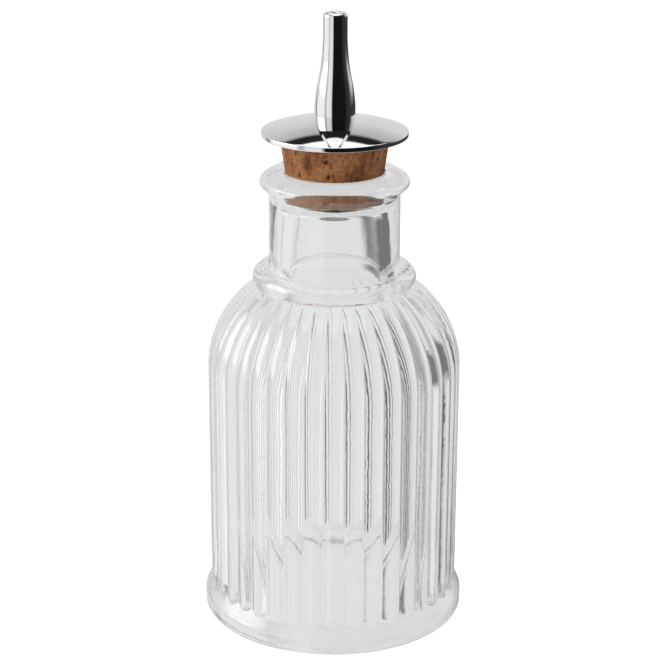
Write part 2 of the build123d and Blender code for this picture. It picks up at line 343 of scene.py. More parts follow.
def turning_tree():
    """Geometry nodes that turn an outline about the Z axis and press ribs and waves into it."""
    tree = bpy.data.node_groups.get("Turned Outline")
    if tree:
        return tree
    geometry = ("Geometry", "Geometry")
    tree = new_group("Turned Outline", "GeometryNodeTree", (geometry, *TURNING_INPUTS), (geometry,))
    given = put(tree, "NodeGroupInput").outputs

    size = put(tree, "GeometryNodeAttributeDomainSize", {"Geometry": given["Geometry"]})
    rows = size.outputs["Point Count"]
    columns = maths(tree, "ADD", given["Steps"], 1.0)
    grid = put(tree, "GeometryNodeMeshGrid", {"Vertices X": rows, "Vertices Y": columns}).outputs["Mesh"]
    index = put(tree, "GeometryNodeInputIndex").outputs[0]
    row = maths(tree, "FLOOR", maths(tree, "DIVIDE", maths(tree, "ADD", index, 0.5), columns))
    column = maths(tree, "SUBTRACT", index, maths(tree, "MULTIPLY", row, columns))

    place = put(tree, "GeometryNodeInputPosition").outputs[0]
    sampled = put(
        tree,
        "GeometryNodeSampleIndex",
        {"Geometry": given["Geometry"], "Value": place, "Index": row},
        data_type="FLOAT_VECTOR",
    ).outputs["Value"]
    outline = put(tree, "ShaderNodeSeparateXYZ", {0: sampled}).outputs
    fields = {}
    for name in ROW_FIELDS:
        stored = put(tree, "GeometryNodeInputNamedAttribute", {"Name": name}, data_type="FLOAT")
        fields[name] = put(
            tree,
            "GeometryNodeSampleIndex",
            {"Geometry": given["Geometry"], "Value": stored.outputs[0], "Index": row},
            data_type="FLOAT",
        ).outputs["Value"]

    turn = maths(tree, "DIVIDE", column, given["Steps"])
    angle = maths(tree, "SUBTRACT", maths(tree, "MULTIPLY", turn, FULL_TURN), math.pi / 2)
    cosine, sine = maths(tree, "COSINE", angle), maths(tree, "SINE", angle)

    ribs = maths(tree, "ADD", maths(tree, "MULTIPLY", turn, given["Rib Count"]), 0.5)
    across = maths(tree, "SUBTRACT", maths(tree, "FRACT", ribs), 0.5)
    curve = maths(tree, "MULTIPLY", maths(tree, "MULTIPLY", across, across), 4.0)
    groove = maths(tree, "MULTIPLY", curve, given["Rib Depth"])

    direction = put(tree, "ShaderNodeCombineXYZ", {0: cosine, 1: sine, 2: 0.0}).outputs[0]
    standing = put(tree, "ShaderNodeCombineXYZ", {2: outline[2]}).outputs[0]
    around = vectors(tree, "ADD", vectors(tree, "SCALE", direction, outline[0]), standing)
    per_metre = maths(tree, "DIVIDE", 1.0, given["Wave Length"])
    uneven = put(
        tree,
        "ShaderNodeTexNoise",
        {"Vector": around, "W": given["Seed"], "Scale": per_metre, "Detail": 1.0},
        noise_dimensions="4D",
    ).outputs[0]
    centred = maths(tree, "MULTIPLY", maths(tree, "SUBTRACT", uneven, 0.5), 4.0)
    wave = maths(tree, "MULTIPLY", maths(tree, "MULTIPLY", centred, given["Unevenness"]), fields["wave"])

    pressed = maths(tree, "MULTIPLY", groove, fields["rib"])
    radius = maths(tree, "ADD", maths(tree, "SUBTRACT", outline[0], pressed), wave)
    height = maths(tree, "ADD", outline[2], maths(tree, "MULTIPLY", groove, fields["climb"]))
    lifted = put(tree, "ShaderNodeCombineXYZ", {2: height}).outputs[0]
    target = vectors(tree, "ADD", vectors(tree, "SCALE", direction, radius), lifted)

    shaped = put(tree, "GeometryNodeSetPosition", {"Geometry": grid, "Position": target}).outputs[0]
    merging = {"Geometry": shaped, "Distance": MERGE_DISTANCE}
    closed = put(tree, "GeometryNodeMergeByDistance", merging).outputs[0]
    smooth = put(tree, "GeometryNodeSetShadeSmooth", {"Geometry": closed, "Shade Smooth": True}).outputs[0]
    real = put(tree, "GeometryNodeRealizeInstances", {"Geometry": smooth}).outputs[0]
    dressed = put(tree, "GeometryNodeSetMaterial", {"Geometry": real, "Material": given["Material"]})
    put(tree, "NodeGroupOutput", {"Geometry": dressed.outputs[0]})
    return tree


def baked(piece):
    """The piece with its modifiers turned into plain mesh and its faces pointing outwards."""
    graph = bpy.context.evaluated_depsgraph_get()
    mesh = bpy.data.meshes.new_from_object(piece.evaluated_get(graph), depsgraph=graph)
    piece.modifiers.clear()
    old, piece.data = piece.data, mesh
    mesh.name = piece.name
    bpy.data.meshes.remove(old)
    work = bmesh.new()
    work.from_mesh(mesh)
    bmesh.ops.recalc_face_normals(work, faces=work.faces)
    work.to_mesh(mesh)
    work.free()
    for attribute in ROW_FIELDS:
        if attribute in mesh.attributes:
            mesh.attributes.remove(mesh.attributes[attribute])
    return piece


def turned(name, rows, material, steps, ribs=1, rib_depth=0.0, unevenness=0.0, wave_length=1.0, seed=0.0):
    """A piece turned about the Z axis from rows of radius, height and the row fields."""
    rows = np.array(rows, float)
    wire = bpy.data.meshes.new(name + "_outline")
    points = [(radius, 0.0, height) for radius, height in rows[:, :2]]
    wire.from_pydata(points, [(start, start + 1) for start in range(len(rows) - 1)], [])
    for field, attribute in enumerate(ROW_FIELDS):
        values = rows[:, 2 + field] if rows.shape[1] > 2 + field else np.zeros(len(rows))
        wire.attributes.new(attribute, "FLOAT", "POINT").data.foreach_set("value", values.astype(np.float32))
    piece = placed(name, wire)
    tree = turning_tree()
    modifier = piece.modifiers.new("Turned Outline", "NODES")
    modifier.node_group = tree
    values = (steps, ribs, rib_depth, unevenness, wave_length, seed, material)
    for (socket, _), value in zip(TURNING_INPUTS, values):
        modifier[tree.interface.items_tree[socket].identifier] = value
    return baked(piece)


def dress(piece, body, slot, *nodes):
    """The piece rides on a body and stands for CAD nodes; the slot is not used."""
    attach(piece, body)
    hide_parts(*nodes)


def new_material(name, values=()):
    """A material with a Principled shader and its plain values, which the caller wires."""
    material = bpy.data.materials.new(name)
    material.use_nodes = True
    tree = material.node_tree
    tree.nodes.clear()
    shader = put(tree, "ShaderNodeBsdfPrincipled", values)
    output = put(tree, "ShaderNodeOutputMaterial")
    tree.links.new(shader.outputs[0], output.inputs["Surface"])
    return material, tree, shader, output


def join_shaders(tree, output, factor, first, second):
    """Shows the first shader, and the second as far as the factor says."""
    both = put(tree, "ShaderNodeMixShader", {0: factor, 1: first.outputs[0], 2: second.outputs[0]})
    tree.links.new(both.outputs[0], output.inputs["Surface"])


def object_place(tree, scale=(1.0, 1.0, 1.0)):
    """Object coordinates, stretched."""
    place = put(tree, "ShaderNodeTexCoord").outputs["Object"]
    return put(tree, "ShaderNodeMapping", {"Vector": place, "Scale": scale}).outputs[0]


def ramp(tree, factor, stops):
    """A colour ramp through stops of place and colour or grey."""
    node = put(tree, "ShaderNodeValToRGB", {0: factor})
    elements = node.color_ramp.elements
    while len(elements) < len(stops):
        elements.new(1.0)
    for element, (place, value) in zip(elements, stops):
        element.position = place
        shade = (value,) * 3 if isinstance(value, float) else value
        element.color = (*shade, 1.0)
    return node.outputs[0]


def mix(tree, factor, first, second, blend_type="MIX"):
    """Two colours mixed by a factor."""
    values = {0: factor, 6: first, 7: second}
    return put(tree, "ShaderNodeMix", values, data_type="RGBA", blend_type=blend_type).outputs[2]


def noise(tree, place, scale, detail, roughness=0.5):
    """The value of a Noise Texture."""
    values = {"Vector": place, "Scale": scale, "Detail": detail, "Roughness": roughness}
    return put(tree, "ShaderNodeTexNoise", values).outputs[0]


def handling_group():
    """Shader group of faint smears and fine lines, as left by hands and polishing cloths."""
    group = bpy.data.node_groups.get("Handling Marks")
    if group:
        return group
    numbers = [(name, "Float") for name in ("Smear Scale", "Line Scale", "Clean", "Worn")]
    outputs = (("Roughness", "Float"), ("Lines", "Float"))
    group = new_group("Handling Marks", "ShaderNodeTree", [("Place", "Vector"), *numbers], outputs)
    given = put(group, "NodeGroupInput").outputs
    smears = noise(group, given["Place"], given["Smear Scale"], 4.0)
    flattened = vectors(group, "MULTIPLY", given["Place"], (1.0, 1.0, 14.0))
    lines = noise(group, flattened, given["Line Scale"], 2.0)
    worn = maths(group, "MULTIPLY", smears, smears)
    span = maths(group, "SUBTRACT", given["Worn"], given["Clean"])
    roughness = maths(group, "ADD", given["Clean"], maths(group, "MULTIPLY", worn, span))
    put(group, "NodeGroupOutput", {"Roughness": roughness, "Lines": lines})
    return group


def handling(tree, shader, place, *values):
    """Places the handling marks with a material's two scales and two roughnesses; gives their lines."""
    inputs = dict(zip(("Place", "Smear Scale", "Line Scale", "Clean", "Worn"), (place, *values)))
    marks = put(tree, "ShaderNodeGroup", inputs, node_tree=handling_group()).outputs
    tree.links.new(marks["Roughness"], shader.inputs["Roughness"])
    return marks["Lines"]


def relief(tree, shader, height, strength, distance):
    """Links a height to the shader's normal through a Bump node, with the distance in metres."""
    bump = put(tree, "ShaderNodeBump", {"Height": height, "Strength": strength, "Distance": distance})
    tree.links.new(bump.outputs[0], shader.inputs["Normal"])


def two_tone(tree, shader, factor, tone, *stops):
    """Colours the shader by a ramp whose stops are a place and a share of one tone."""
    colours = [(place, tuple(part * channel for channel in tone)) for place, part in stops]
    tree.links.new(ramp(tree, factor, colours), shader.inputs["Base Color"])


def glass_material(tint):
    """Clear moulded glass with a fire-polished skin."""
    plain = {"IOR": 1.5, "Transmission Weight": 1.0}
    material, tree, shader, output = new_material("Clear Moulded Glass", plain)
    place = object_place(tree)
    handling(tree, shader, place, 60.0, 300.0, 0.03, 0.16)
    two_tone(tree, shader, noise(tree, place, 40.0, 2.0), tint, (0.3, 0.985), (0.7, 1.0))
    relief(tree, shader, noise(tree, place, 420.0, 1.5), 0.5, 0.06 * MM)
    passing = put(tree, "ShaderNodeBsdfTransparent", {"Color": (0.9, 0.9, 0.9, 1.0)})
    shadow = put(tree, "ShaderNodeLightPath").outputs["Is Shadow Ray"]
    join_shaders(tree, output, shadow, shader, passing)
    return material


def cork_material(size):
    """Natural bark cork: reddish grain, dark pores that darken with depth, partly their own colour and
    partly painted shade, and a fine speckle.
    """
    plain = {"Roughness": 0.82, "Specular IOR Level": 0.3}
    material, tree, shader, _ = new_material("Natural Bark Cork", plain)
    place = object_place(tree)
    patches = noise(tree, object_place(tree, (1.0, 1.0, 0.45)), 170.0, 6.0, 0.68)
    dark, warm, pale = (tuple(tone) for tone in (size.dark, size.warm, size.pale))
    base = ramp(tree, patches, ((0.38, dark), (0.45, warm), (0.53, pale), (0.60, pale), (0.68, dark)))
    speckle = noise(tree, place, 900.0, 3.0, 0.7)
    flecks = ramp(tree, speckle, ((0.34, 0.5), (0.5, 1.0), (0.66, 1.15)))
    grained = mix(tree, 1.0, base, flecks, "MULTIPLY")
    # The pits' colour comes in with their depth: partly the pores' own dark colour, partly painted shade in
    # the hollows.
    pits = put(tree, "ShaderNodeAttribute", attribute_name="pore").outputs["Fac"]
    tree.links.new(mix(tree, pits, grained, (*size.pore, 1.0)), shader.inputs["Base Color"])
    cells = put(tree, "ShaderNodeTexVoronoi", {"Vector": place, "Scale": 2200.0}).outputs["Distance"]
    relief(tree, shader, maths(tree, "ADD", maths(tree, "MULTIPLY", cells, 0.4), speckle), 0.55, 0.12 * MM)
    return material


def chrome_material(tone):
    """Mirror-polished plating with faint smears."""
    material, tree, shader, _ = new_material("Polished Chrome Plating", {"Metallic": 1.0})
    place = object_place(tree)
    lines = handling(tree, shader, place, 220.0, 900.0, 0.015, 0.11)
    two_tone(tree, shader, noise(tree, place, 130.0, 3.0), tone, (0.35, 0.93), (0.65, 1.0))
    relief(tree, shader, lines, 0.04, 0.02 * MM)
    return material


def steel_material(tone):
    """Bare turned steel with the rings that the tool left."""
    material, tree, shader, _ = new_material("Turned Steel", {"Metallic": 1.0})
    place = object_place(tree)
    lines = handling(tree, shader, place, 260.0, 1500.0, 0.16, 0.42)
    rings = put(
        tree,
        "ShaderNodeTexWave",
        {"Vector": place, "Scale": 900.0, "Distortion": 0.6, "Detail": 1.0},
        wave_type="RINGS",
        rings_direction="Z",
    ).outputs[0]
    two_tone(tree, shader, lines, tone, (0.3, 0.8), (0.7, 1.0))
    relief(tree, shader, rings, 0.12, 0.03 * MM)
    return material


def rubber_material(tone):
    """Matt moulded rubber."""
    material, tree, shader, _ = new_material("Gasket Rubber", {"Roughness": 0.7})
    dust = noise(tree, object_place(tree), 500.0, 4.0)
    two_tone(tree, shader, dust, tone, (0.35, 1.0), (0.7, 1.8))
    relief(tree, shader, dust, 0.2, 0.05 * MM)
    return material


def without_ribs(points):
    """Rows of radius and height that ribs don't reach."""
    return np.column_stack([points, np.zeros((len(points), 2))])


def outer_glass_rows(size):
    """Rows of the glass from the middle of the underside up to the mouth."""
    slope_width = size.foot_radius - size.body_radius + size.rib_depth
    crest_climb = size.foot_flare_height * (size.foot_radius - size.body_radius) / slope_width
    climb_per_depth = size.foot_flare_height / slope_width
    crest_start = size.foot_height + crest_climb
    settle = 4.0 * MM

    underside = rounded(
        (0.0, size.underside_depth, 0),
        (size.underside_radius, 0.0, 0.3 * MM),
        (size.foot_radius, 0.0, size.foot_corner_radius),
        (size.foot_radius, size.foot_height, 0),
    )
    slope = line(
        (size.foot_radius, size.foot_height, 0.0, 0.0),
        (size.body_radius, crest_start, 1.0, climb_per_depth),
        8,
    )
    settling = line(
        (size.body_radius, crest_start, 1.0, climb_per_depth),
        (size.body_radius, crest_start + settle, 1.0, 0.0),
        4,
    )
    parts = [without_ribs(underside), slope, settling]

    axis = size.body_radius - size.shoulder_radius
    bead_centre = np.array((size.collar_radius - size.collar_bead_radius, size.collar_height))
    centre = np.array((axis, size.body_height))
    gap = bead_centre - centre
    distance = np.linalg.norm(gap)
    ahead = (distance**2 + size.shoulder_radius**2 - size.collar_bead_radius**2) / (2 * distance)
    aside = math.sqrt(size.shoulder_radius**2 - ahead**2)
    unit = gap / distance
    meeting = centre + unit * ahead + np.array((unit[1], -unit[0])) * aside
    top_angle = math.atan2(*(meeting - centre)[::-1])
    shoulder = arc(centre, size.shoulder_radius, 0.0, top_angle, 60)
    fade_end, fade_length = 1.02, 0.12
    climbed = np.linspace(0, 1, len(shoulder))
    fade = np.clip((fade_end - climbed) / fade_length, 0, 1) ** 0.5
    ribs = fade * shoulder[:, 0] / size.body_radius
    parts.append(np.column_stack([shoulder, ribs, np.zeros(len(shoulder))]))

    low = math.atan2(*(meeting - bead_centre)[::-1])
    high = math.acos((size.neck_radius - bead_centre[0]) / size.collar_bead_radius)
    bead = arc(bead_centre, size.collar_bead_radius, low, high, 24)
    lip = rounded(
        (size.neck_radius, size.collar_height + size.collar_bead_radius, 0),
        (size.neck_radius, size.neck_top, size.lip_neck_fillet),
        (size.lip_radius, size.lip_side_bottom, size.lip_lower_fillet),
        (size.lip_radius, size.lip_side_top, size.lip_upper_fillet),
        (size.lip_crest_radius, size.lip_crest_height, size.lip_crest_fillet),
        (size.mouth_radius, size.mouth_height, size.mouth_fillet),
        (size.seat_radius, size.seat_height, 0),
    )[:-1]
    rows = np.concatenate([*parts, without_ribs(bead), without_ribs(lip)])
    return np.column_stack([rows, np.zeros(len(rows))])


def inner_glass_rows(size):
    """Rows of the glass from the mouth down to the middle of the floor."""
    shoulder = size.shoulder_radius - size.wall_thickness
    middle = np.array((size.body_radius - size.shoulder_radius, size.body_height))
    cavity = size.body_radius - size.wall_thickness
    foot_height = size.body_height + math.sqrt(shoulder**2 - (size.bore_foot_radius - middle[0]) ** 2)
    seat = rounded(
        (size.mouth_radius, size.mouth_height, 0),
        (size.seat_radius, size.seat_height, size.seat_fillet),
        (size.bore_radius, size.seat_blend_height, size.seat_fillet),
        (size.bore_foot_radius, foot_height, 0),
    )[1:-1]
    bore = np.array((size.bore_foot_radius - size.bore_radius, foot_height - size.seat_blend_height))
    down = bore / np.linalg.norm(bore)
    outward = np.array((-down[1], down[0]))
    start = (size.bore_radius, size.seat_blend_height) + outward * size.bore_fillet - middle
    closing = start @ down
    reach = shoulder + size.bore_fillet
    run = -closing - math.sqrt(closing**2 - start @ start + reach**2)
    centre = start + run * down
    touch = math.atan2(centre[1], centre[0])
    leaving = math.atan2(outward[1], outward[0])
    opening = arc(centre + middle, size.bore_fillet, math.pi + leaving, math.pi + touch, 16)
    dome = arc(middle, shoulder, touch, 0.0, 40)
    floor = rounded(
        (cavity, size.body_height, 0),
        (cavity, size.floor_thickness, size.floor_corner_radius),
        (0.0, size.floor_thickness + size.punt_height, 0),
        steps=14,
    )[1:]
    rows = np.concatenate([seat, opening, dome, floor])
    wave_fade = 12 * MM
    wave = np.clip((size.seat_blend_height - rows[:, 1]) / wave_fade, 0, 1)
    wave *= np.clip(rows[:, 0] / size.bore_radius, 0, 1)
    return np.column_stack([without_ribs(rows), wave])


class BOTTLE_OT_glass(bpy.types.Operator):
    """Make the ribbed glass bottle"""

    bl_idname = "bottle.glass"
    bl_label = "Glass Bottle"

    def execute(self, context):
        size = context.scene.bottle_glass
        outer = softened(outer_glass_rows(size), size.polish_radius)
        inner = softened(inner_glass_rows(size), size.polish_radius)[1:]
        outer = thinned(outer, turn=math.radians(6.4), longest=7.0 * MM)
        inner = thinned(inner, turn=math.radians(7.6), longest=3.4 * MM)
        bottle = turned(
            "glass_bottle",
            np.concatenate([outer, inner]),
            glass_material(size.tint),
            size.rib_count * STEPS_PER_RIB,
            size.rib_count,
            size.rib_depth,
            size.wall_unevenness,
            size.wave_length,
            seed=3.0,
        )
        dress(bottle, "bottle", "clear_glass", "bottle")
        return {"FINISHED"}


def cork_pits():
    """Pores of the cork as angle, place, width, height and depth: some listed, the rest by chance."""
    bottom, tall = cork_low.z, cork_high.z - cork_low.z
    by_hand = (
        (-0.16, 0.74, 0.55, 0.5, 1.0),
        (0.15, 0.76, 0.35, 0.35, 0.6),
        (-0.12, 0.47, 0.5, 0.8, 0.9),
        (-0.02, 0.50, 0.35, 0.7, 0.7),
        (-0.58, 0.60, 0.9, 0.35, 0.8),
        (-0.66, 0.68, 0.5, 0.3, 0.6),
        (-0.45, 0.62, 0.5, 0.3, 0.6),
        (-0.40, 0.86, 0.6, 0.4, 0.4),
        (0.62, 0.62, 0.4, 0.3, 0.5),
        (0.95, 0.8, 0.5, 0.4, 0.5),
    )
    pits = [
        (angle - math.pi / 2, bottom + tall * place, width * MM, height * MM, depth)
        for angle, place, width, height, depth in by_hand
    ]
    chance = random.Random(11)
    chance_pits, front_angle, front_start = 70, 0.8, 0.5
    for _ in range(chance_pits):
        angle = chance.uniform(0.0, FULL_TURN)
        place = bottom + tall * chance.uniform(0.03, 0.97)
        from_front = abs((angle + math.pi / 2 + math.pi) % FULL_TURN - math.pi)
        if from_front < front_angle and place > bottom + front_start * tall:
            continue
        width = chance.uniform(0.15, 0.6) * MM
        pits.append((angle, place, width, width * chance.uniform(0.5, 1.6), chance.uniform(0.3, 1.0)))
    return pits


def press_pits(piece, size):
    """Presses the pores into the cork's side and keeps how deep each point lies as an attribute, which
    darkens the pores' colour: partly their own dark colour, partly painted shade.
    """
    mesh = piece.data
    places = np.zeros(len(mesh.vertices) * 3)
    mesh.vertices.foreach_get("co", places)
    places = places.reshape(-1, 3)
    radii = np.hypot(places[:, 0], places[:, 1])
    angles = np.arctan2(places[:, 1], places[:, 0])
    depth = np.zeros(len(places))
    raggedness = 0.35
    for angle, place, width, height, share_of_depth in cork_pits():
        around = (angles - angle + math.pi) % FULL_TURN - math.pi
        ripple = np.sin(around * 60 + place * 9000) * np.cos(places[:, 2] * 7000)
        far = (around * size.top_radius / width) ** 2 + ((places[:, 2] - place) / height) ** 2
        depth = np.maximum(depth, share_of_depth * np.exp(-far * (1 + raggedness * ripple)))
    side = np.clip((radii - size.hole_radius) / (size.bottom_radius - size.hole_radius), 0, 1) ** 8
    depth *= side
    shrink = 1 - depth * size.pit_depth / np.maximum(radii, size.hole_radius)
    places[:, :2] *= shrink[:, None]
    mesh.vertices.foreach_set("co", places.ravel())
    # Pit depth as a colour mix: partly the pores' own dark colour, partly painted shade.
    shade = np.clip(depth * 1.6 - 0.25, 0, 1).astype(np.float32)
    mesh.attributes.new("pore", "FLOAT", "POINT").data.foreach_set("value", shade)
    mesh.update()


class BOTTLE_OT_cork(bpy.types.Operator):
    """Make the tapered cork with its pores"""

    bl_idname = "bottle.cork"
    bl_label = "Cork"

    def execute(self, context):
        size = context.scene.bottle_cork
        outline = rounded(
            (size.hole_radius, cork_high.z, 0),
            (size.hole_radius, cork_low.z, 0),
            (size.bottom_radius, cork_low.z, size.edge_radius),
            (size.top_radius, cork_high.z, size.edge_radius),
            (size.hole_radius, cork_high.z, 0),
        )
        rows = [outline[0]]
        row_gap = 0.22 * MM
        for start, end in zip(outline, outline[1:]):
            rows.extend(line(start, end, max(1, round(np.linalg.norm(end - start) / row_gap))))
        cork = turned("cork_plug", rows, cork_material(size), STEPS["cork"])
        press_pits(cork, size)
        dress(cork, "stopper", "natural_cork", "cork")
        return {"FINISHED"}


def plate_rows(size):
    """Rows of the cover plate: a dome, a rounded rim and a flat ceiling."""
    radius = plate_high.x
    rim_top = plate_low.z + size.plate_rim_height
    dome_radius = (radius**2 + size.plate_dome_height**2) / (2 * size.plate_dome_height)
    centre = (0.0, rim_top + size.plate_dome_height - dome_radius)
    first = math.acos(size.spout_base_radius / dome_radius)
    dome = arc(centre, dome_radius, first, math.acos(radius / dome_radius), 40)
    rim = rounded(
        (*dome[-3], 0),
        (radius, rim_top, size.plate_edge_fillet),
        (radius, plate_low.z, size.plate_edge_fillet),
        (radius - size.plate_rim_width, plate_low.z, 0.15 * MM),
        (radius - size.plate_rim_width, plate_low.z + size.plate_rim_drop, 0.1 * MM),
        (size.stem_hole_radius, plate_low.z + size.plate_rim_drop, 0),
        (size.stem_hole_radius, plate_high.z, 0),
        (*dome[0], 0),
        steps=10,
    )
    return np.concatenate([dome[:-3], rim])


def spout_rows(size):
    """Rows of the spout: bulb, taper, straight tip, pouring hole and the socket for the stem."""
    bottom, top = spout_low.z, spout_high.z
    tall = top - bottom
    bulge_share = 0.10
    taper_shares = ((0.20, 0.91), (0.31, 0.72), (0.42, 0.44), (0.53, 0.22), (0.66, 0.07))
    tip = size.spout_tip_radius
    swell = size.spout_bulge_radius - tip
    knots = [(bottom, size.spout_base_radius), (bottom + bulge_share * tall, size.spout_bulge_radius)]
    knots += [(bottom + place * tall, tip + swell * part) for place, part in taper_shares]
    knots.append((top - size.spout_tip_length, tip))
    side = smooth_side(knots, 90)
    inside = rounded(
        (*side[-1], 0),
        (tip, top, size.spout_tip_fillet),
        (size.orifice_radius, top, size.orifice_fillet),
        (size.orifice_radius, top - size.orifice_length, 0.2 * MM),
        (size.stem_radius, bottom + size.stem_socket_depth, 0.1 * MM),
        (size.stem_hole_radius, bottom + size.stem_socket_depth, 0),
        (size.stem_hole_radius, bottom, 0),
        (size.spout_base_radius, bottom, 0),
        steps=10,
    )
    return np.concatenate([side, inside[1:]])


def smooth_side(knots, steps):
    """A smooth side through knots of height and radius, upright at its top."""
    heights, radii = (np.array(column) for column in zip(*knots))
    slopes = np.gradient(radii, heights)
    slopes[0] = 2 * (radii[1] - radii[0]) / (heights[1] - heights[0])
    slopes[1] = 0.0
    slopes[-1] = 0.0
    points = []
    for place in np.linspace(heights[0], heights[-1], steps):
        part = min(np.searchsorted(heights, place, side="right") - 1, len(heights) - 2)
        gap = heights[part + 1] - heights[part]
        along = (place - heights[part]) / gap
        radius = (
            (2 * along**3 - 3 * along**2 + 1) * radii[part]
            + (along**3 - 2 * along**2 + along) * gap * slopes[part]
            + (3 * along**2 - 2 * along**3) * radii[part + 1]
            + (along**3 - along**2) * gap * slopes[part + 1]
        )
        points.append((radius, place))
    return np.array(points)


def metal_piece(name, rows, material, slot, node):
    """A turned metal piece with crisp edges that rides on the stopper."""
    piece = turned(name, rows, material, STEPS[node])
    piece.data.set_sharp_from_angle(angle=CRISP_ANGLE)
    dress(piece, "stopper", slot, node)


class BOTTLE_OT_chrome(bpy.types.Operator):
    """Make the chromed cover plate and the pouring spout"""

    bl_idname = "bottle.chrome"
    bl_label = "Plate and Spout"

    def execute(self, context):
        size = context.scene.bottle_metal
        material = chrome_material(size.chrome)
        metal_piece("domed_plate", plate_rows(size), material, "polished_chrome", "cover_plate")
        metal_piece("pouring_spout", spout_rows(size), material, "polished_chrome", "spout")
        return {"FINISHED"}


class BOTTLE_OT_steel(bpy.types.Operator):
    """Make the baffle disc and the end screw, and give the cup washer, the stem tube and the gasket their
    materials
    """

    bl_idname = "bottle.steel"
    bl_label = "Parts under the Cork"

    def execute(self, context):
        size = context.scene.bottle_metal
        material = steel_material(size.steel)
        disc_fillet, neck_gap = 0.18 * MM, 0.05 * MM
        disc = rounded(
            (size.stem_bore_radius, baffle_high.z, 0),
            (baffle_high.x, baffle_high.z, disc_fillet),
            (baffle_high.x, baffle_low.z, disc_fillet),
            (size.stem_bore_radius, baffle_low.z, 0),
            (size.stem_bore_radius, baffle_high.z, 0),
        )
        metal_piece("baffle_plate", disc, material, "stem_steel", "baffle_disc")
        neck = size.stem_bore_radius - neck_gap
        head = rounded(
            (0.0, screw_low.z, 0),
            (screw_high.x, screw_low.z, size.screw_fillet),
            (screw_high.x, baffle_low.z, 0.08 * MM),
            (neck, baffle_low.z, 0),
            (neck, screw_high.z, 0.2 * MM),
            (0.0, screw_high.z, 0),
        )
        metal_piece("round_screw", head, material, "stem_steel", "end_screw")
        for name in ("cup_washer", "stem_tube"):
            assign(name, material)
        assign("plate_gasket", rubber_material(size.rubber))
        return {"FINISHED"}


def assign(node, material):
    """Gives a CAD node's object a material."""
    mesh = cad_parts[node].data
    mesh.materials.clear()
    mesh.materials.append(material)


def bearings(*stops):
    """Ramp stops by azimuth in degrees: 0 is the front, -90 the left and 90 the right."""
    return [((degrees + 180) / 360, value) for degrees, value in stops]


def climbs(*stops):
    """Ramp stops by elevation in degrees: 0 is the horizon."""
    return [((degrees + 90) / 180, value) for degrees, value in stops]


def studio_seen_in_metal(tree, around, up, level):
    """Panels and dark walls round the bottle, as polished metal and the skin of the glass mirror them."""
    behind_left = ((-180, level), (-138, level), (-130, 0.30), (-122, 0.34), (-116, 1.12), (-62, 1.08))
    ahead_left = ((-57, 0.55), (-50, 0.6), (-45, 1.0), (-21, 0.92), (-15, 0.008))
    right = ((60, 0.010), (75, 0.035), (164, 0.06), (171, level), (180, level))
    low = ramp(tree, around, bearings(*behind_left, *ahead_left, *right))
    left = ramp(tree, around, bearings((-118, 0.0), (-108, 1.0), (-72, 1.0), (-60, 0.0)))
    early = ramp(tree, up, climbs((-2, 0.0), (4, 1.0)))
    panel_light = (5.5, 5.5, 5.5, 1.0)
    ahead = mix(tree, maths(tree, "MULTIPLY", left, early), low, panel_light)

    sides = ramp(tree, around, bearings((-120, 1.0), (-95, 0.0), (95, 0.0), (120, 1.0)))
    behind = maths(tree, "MULTIPLY", sides, ramp(tree, up, climbs((-8, 0.0), (-2, 1.0))))
    back = ramp(tree, up, climbs((-10, level), (20, 0.78), (37, 0.55)))

    canopy_ahead = ramp(tree, up, climbs((40, 0.02), (58, 0.02), (61, 1.7), (80, 1.3)))
    canopy_behind = ramp(tree, up, climbs((40, 0.02), (46, 0.02), (47, 1.3), (80, 1.3)))
    overhead = ramp(tree, up, climbs((37, 0.0), (40, 1.0)))
    canopy = mix(tree, sides, canopy_ahead, canopy_behind)
    return mix(tree, overhead, mix(tree, behind, ahead, back), canopy)


def studio_seen_through_glass(tree, around, up, level):
    """The pale backdrop and the dark wall at the right, as they look through the glass."""
    left = ((-180, level), (-160, level), (-154, 1.1), (-143, 1.1), (-136, level), (-20, level))
    right = ((0, 1.0), (62, 1.0), (72, 0.62), (94, 0.62), (104, 0.85), (128, 0.85), (136, 0.60))
    wall = ((140, 0.08), (158, 0.06), (164, 0.72), (170, level))
    lower = ramp(tree, around, bearings(*left, *right, *wall))
    left = ((-180, level), (-154, level), (-150, 0.60), (-147, 0.60), (-142, 0.80), (-90, 0.82))
    right = ((100, 0.85), (108, 0.35), (116, 0.18), (160, 0.14), (167, level), (180, level))
    upper = ramp(tree, around, bearings(*left, *right))
    step = ramp(tree, up, climbs((-20, 0.0), (-16, 1.0)))
    side = mix(tree, step, lower, upper)
    band = ramp(tree, up, climbs((-35, 0.0), (-31, 1.0), (-2, 1.0), (4, 0.0)))
    whole = ramp(tree, up, climbs((-60, 0.74), (-30, level), (20, 0.78)))
    return mix(tree, band, whole, side)


def surroundings(tree, through, level):
    """The studio by direction, for the rays that glass lets through and for the mirrored ones."""
    direction = put(tree, "ShaderNodeTexCoord").outputs["Generated"]
    parts = put(tree, "ShaderNodeSeparateXYZ", {0: direction}).outputs
    behind = maths(tree, "MULTIPLY", parts[1], -1.0)
    turn = maths(tree, "DIVIDE", maths(tree, "ARCTAN2", parts[0], behind), FULL_TURN)
    around = maths(tree, "ADD", turn, 0.5)
    up = maths(tree, "ADD", maths(tree, "DIVIDE", maths(tree, "ARCSINE", parts[2]), math.pi), 0.5)
    mirrored = studio_seen_in_metal(tree, around, up, level)
    return mix(tree, through, mirrored, studio_seen_through_glass(tree, around, up, level))


